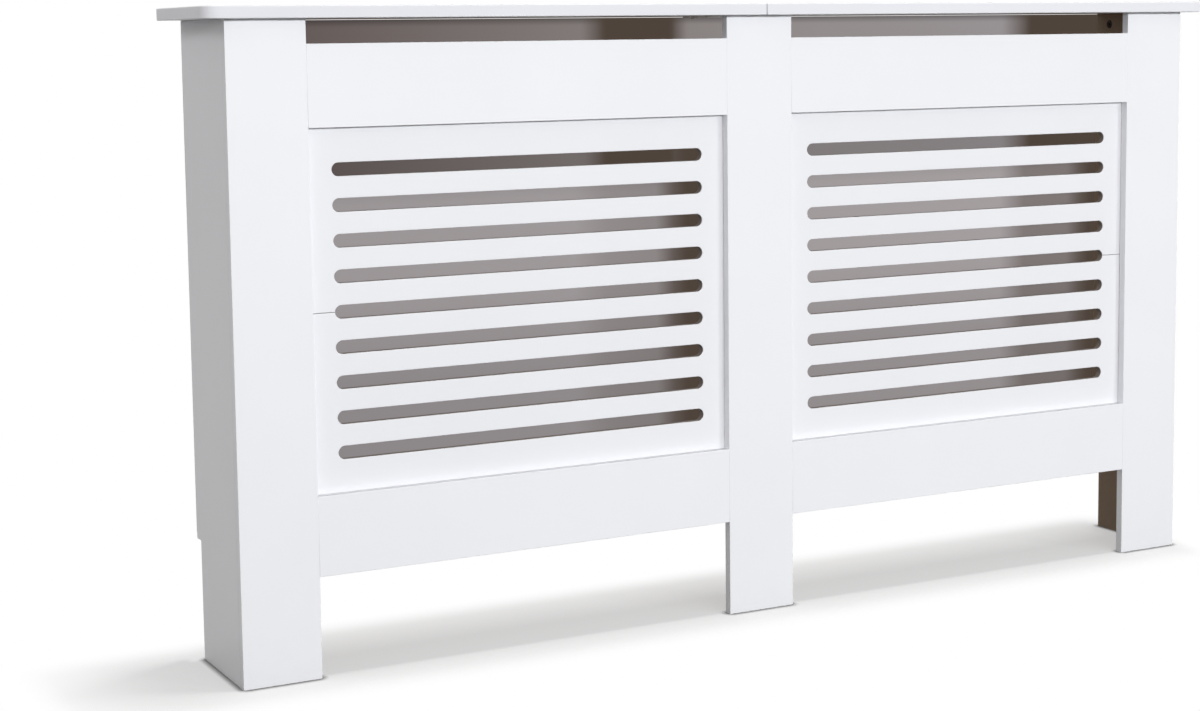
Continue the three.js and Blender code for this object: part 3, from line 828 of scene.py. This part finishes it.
# A small card stands at the back of the cover, only behind its own opening, and is clear from behind. It
# glows with painted light and shade: painted light in the middle of each bay, painted shadow beside the centre
# stile and the right side panel, and painted shade that makes it dimmer high up. The stops are in millimetres
# from the centre or above the floor, each with a share of the shade, a tone, or a share of the light.
CARD_X, CARD_Y, CARD_BOTTOM, CARD_TOP = 0.7295, 0.097, 0.16, 0.7995
TONES_FROM, TONES_TO = 190, 800  # heights between which its tones may change
SLOT_SHADE = ((-190, 0), (-140, 0.22), (-62, 0.31), (-36, 0.83), (-14, 1), (30, 1), (110, 0), (535, 0),
              (580, 0.54), (664, 0.56), (688, 0.87), (708, 1))
OUTLET_SHADE = ((-175, 0), (-140, 1), (-36, 1), (-10, 0), (538, 0), (590, 1))
SLOT_TONES = ((-600, (0.325, 0.300, 0.305)), (600, (0.375, 0.345, 0.350)))
OUTLET_TONES = ((-600, (0.125, 0.100, 0.095)), (-200, (0.215, 0.190, 0.182)), (200, (0.290, 0.265, 0.265)),
                (560, (0.310, 0.287, 0.293)))
SHADE_TONE = (0.078, 0.058, 0.045)
FIRST_SLOT = ((578, 0), (594, 1))
OUTLET = ((690, 0), (710, 1))
DIM = ((330, 0.80), (450, 1), (560, 1), (600, 0.76), (690, 0.76), (710, 1), (790, 1), (799, 0.5))


def greys(stops):
    return [(place, (grey, grey, grey)) for place, grey in stops]


def card_material():
    made, tree = material("card_in_shade")
    at = node(tree, "SeparateXYZ", Vector=node(tree, "TexCoord").outputs["Object"])
    across = maprange(tree, at.outputs["X"], (-CARD_X, CARD_X), (0.0, 1.0))
    up = maprange(tree, at.outputs["Z"], (TONES_FROM * MM, TONES_TO * MM), (0.0, 1.0))

    def over_width(stops):
        return ramp(tree, across, [((x * MM + CARD_X) / (2 * CARD_X), colour) for x, colour in stops])

    def over_height(stops):
        span = TONES_TO - TONES_FROM
        return ramp(tree, up, [((z - TONES_FROM) / span, grey) for z, grey in greys(stops)])

    slot_shade, outlet_shade = over_width(greys(SLOT_SHADE)), over_width(greys(OUTLET_SHADE))
    first_slot, outlet = over_height(FIRST_SLOT), over_height(OUTLET)
    deeper = mix_colour(tree, 1.0, slot_shade, outlet_shade, "LIGHTEN")
    shade = mix_colour(tree, first_slot, slot_shade, deeper)
    shade = mix_colour(tree, outlet, shade, outlet_shade)
    lit = mix_colour(tree, first_slot, over_width(SLOT_TONES), over_width(OUTLET_TONES))
    lit = mix_colour(tree, 1.0, lit, over_height(DIM), "MULTIPLY")
    tone = mix_colour(tree, shade, lit, (*SHADE_TONE, 1))

    # the card glows: its light and shade are painted, and it takes no light from the lamps
    front = node(tree, "Emission", Color=tone, Strength=1.0).outputs["Emission"]
    behind = node(tree, "NewGeometry").outputs["Backfacing"]
    show(tree, mix_shader(tree, behind, front, node(tree, "BsdfTransparent").outputs["BSDF"]))
    return made


card = sheet("backing_card", [(-CARD_X, CARD_Y, CARD_BOTTOM), (CARD_X, CARD_Y, CARD_BOTTOM),
                              (CARD_X, CARD_Y, CARD_TOP), (-CARD_X, CARD_Y, CARD_TOP)], card_material())
card.visible_shadow = False
card.visible_diffuse = False

WORLD_LIGHT = (1.0, 0.975, 0.955)
WORLD_STRENGTH = 0.54

world = bpy.data.worlds.new("studio")
bpy.context.scene.world = world
world.use_nodes = True
sky = world.node_tree
sky.nodes.clear()
lighting = node(sky, "Background", Color=(*WORLD_LIGHT, 1), Strength=WORLD_STRENGTH).outputs["Background"]
backdrop = node(sky, "Background", Color=(1, 1, 1, 1), Strength=1.0).outputs["Background"]
seen = seen_by(sky, "Is Camera Ray", "Is Transmission Ray", "Is Glossy Ray")
show(sky, mix_shader(sky, seen, lighting, backdrop), "OutputWorld")

# ------------------------------------------------------------ lamps
COOL = (0.99, 1.0, 1.01)


def area(name, at, to, size, power, colour=(1, 1, 1), mirrored=False, only=(), but=()):
    """A rectangular lamp. mirrored: whether the satin boards mirror it. It lights the objects in only, or
    everything but those in but."""
    lamp = bpy.data.lights.new(name, "AREA")
    lamp.shape = "RECTANGLE"
    lamp.size, lamp.size_y = size
    lamp.energy = power
    lamp.color = colour
    placed = bpy.data.objects.new(name, lamp)
    placed.location = at
    placed.rotation_euler = (Vector(to) - Vector(at)).to_track_quat("-Z", "Y").to_euler()
    placed.visible_glossy = mirrored
    bpy.context.scene.collection.objects.link(placed)
    if only or but:
        group = bpy.data.collections.new("linked to " + name)
        for other in (*only, *but):
            group.objects.link(other)
        for entry in group.collection_objects:
            entry.light_linking.link_state = "INCLUDE" if only else "EXCLUDE"
        placed.light_linking.receiver_collection = group


# the shelf has a copy of the key lamp that it doesn't mirror, or its top would clip to white from behind
shelves = [bpy.data.objects["shelf_left_fine"], bpy.data.objects["shelf_right_fine"]]
KEY = {"at": (-0.30, -4.90, 1.47), "to": (0.0, 0, 0.45), "size": (4.2, 0.3), "power": 142, "colour": COOL}
area("key", **KEY, mirrored=True, but=shelves)
area("key_on_shelf", **KEY, only=shelves)
area("right", at=(3.10, -4.70, 1.50), to=(0.3, 0, 0.45), size=(1.0, 0.5), power=68, colour=COOL)
area("left", at=(-2.20, 0.05, 1.75), to=(-0.73, 0, 0.6), size=(0.5, 0.5), power=4.6)
area("back", at=(0.60, 4.50, 1.30), to=(0, 0, 0.45), size=(2.4, 1.0), power=60, but=[floor])
area("top", at=(0.95, -0.07, 8.5), to=(0, 0, 0), size=(1.9, 0.63), power=110)
area("floor_only", at=(0.95, -0.03, 8.5), to=(0, 0, 0), size=(1.9, 0.38), power=610, only=[floor])

# ------------------------------------------------------------ camera
# The camera looks from the left, from a little below the shelf. A small shift does a part of what the
# photograph's crop does, and a slight tilt down does the rest.
LENS_PX, PHOTO_WIDTH_PX, SENSOR_MM = 2143.4, 1200, 36
SHIFT_Y = -0.08
YAW, PITCH, ROLL = 27.7045, 5.8908, -0.7075
CAMERA_AT = (-1.50923, -2.48957, 0.77202)
NEAREST, FARTHEST = 0.05, 200

lens = bpy.data.cameras.new("camera")
lens.sensor_fit = "HORIZONTAL"
lens.sensor_width = SENSOR_MM
lens.lens = LENS_PX * SENSOR_MM / PHOTO_WIDTH_PX
lens.shift_y = SHIFT_Y
lens.clip_start = NEAREST
lens.clip_end = FARTHEST
camera = bpy.data.objects.new("camera", lens)
bpy.context.scene.collection.objects.link(camera)
yaw, pitch, roll = (math.radians(v) for v in (YAW, PITCH, ROLL))
level = Vector((math.cos(yaw), -math.sin(yaw), 0))
ahead = Vector((math.sin(yaw) * math.cos(pitch), math.cos(yaw) * math.cos(pitch), -math.sin(pitch)))
upright = level.cross(ahead)
right = level * math.cos(roll) + upright * math.sin(roll)
top = upright * math.cos(roll) - level * math.sin(roll)
turn = Matrix((right, top, -ahead)).transposed().to_4x4()
camera.matrix_world = Matrix.Translation(CAMERA_AT) @ turn
bpy.context.scene.camera = camera
bpy.context.scene.view_settings.view_transform = "Standard"
